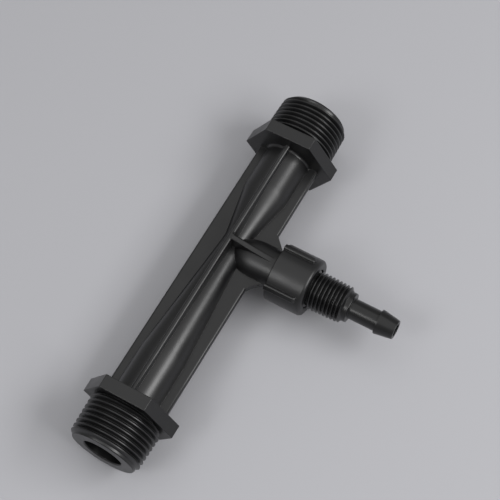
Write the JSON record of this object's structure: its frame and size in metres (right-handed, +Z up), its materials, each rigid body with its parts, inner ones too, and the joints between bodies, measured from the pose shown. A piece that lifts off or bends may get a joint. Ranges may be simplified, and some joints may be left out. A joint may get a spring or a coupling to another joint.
{
  "type": "venturi injector",
  "caption": "Black plastic venturi injector: waisted ribbed tube with a hexagon and a male pipe thread at each end, and a side branch with union nut, threaded shank and hose barb.",
  "frame": {"origin": "on the main axis, in the plane of the inlet hexagon's outer face, where the inlet thread ends", "axes": "+X along the water's flow from inlet to outlet, +Y out along the suction branch, +Z up as it lies on its hexagons"},
  "size_m": [0.1452, 0.0813, 0.03],
  "materials": {
    "body_plastic": "satin",
    "nut_plastic": "matte",
    "nipple_plastic": "satin",
    "seal_rubber": "matte"
  },
  "bodies": {
    "injector": {"injector_body": "body_plastic"},
    "nipple": {"hose_nipple": "nipple_plastic", "seal_washer": "seal_rubber"},
    "nut": {"union_nut": "nut_plastic"}
  },
  "joints": [
    {"name": "nipple_draw", "type": "slide", "parent": "injector", "child": "nipple", "axis": [0, 1, 0], "range_m": [0, 0.0076]},
    {"name": "nut_turn", "type": "hinge", "parent": "nipple", "child": "nut", "pos_m": [0.045, 0.025, 0], "axis": [0, 1, 0], "range_deg": [0, 1800]}
  ],
  "couplings": [
    {"joint": "nipple_draw", "follows": "nut_turn", "m_per_rad": 0.00023873}
  ]
}
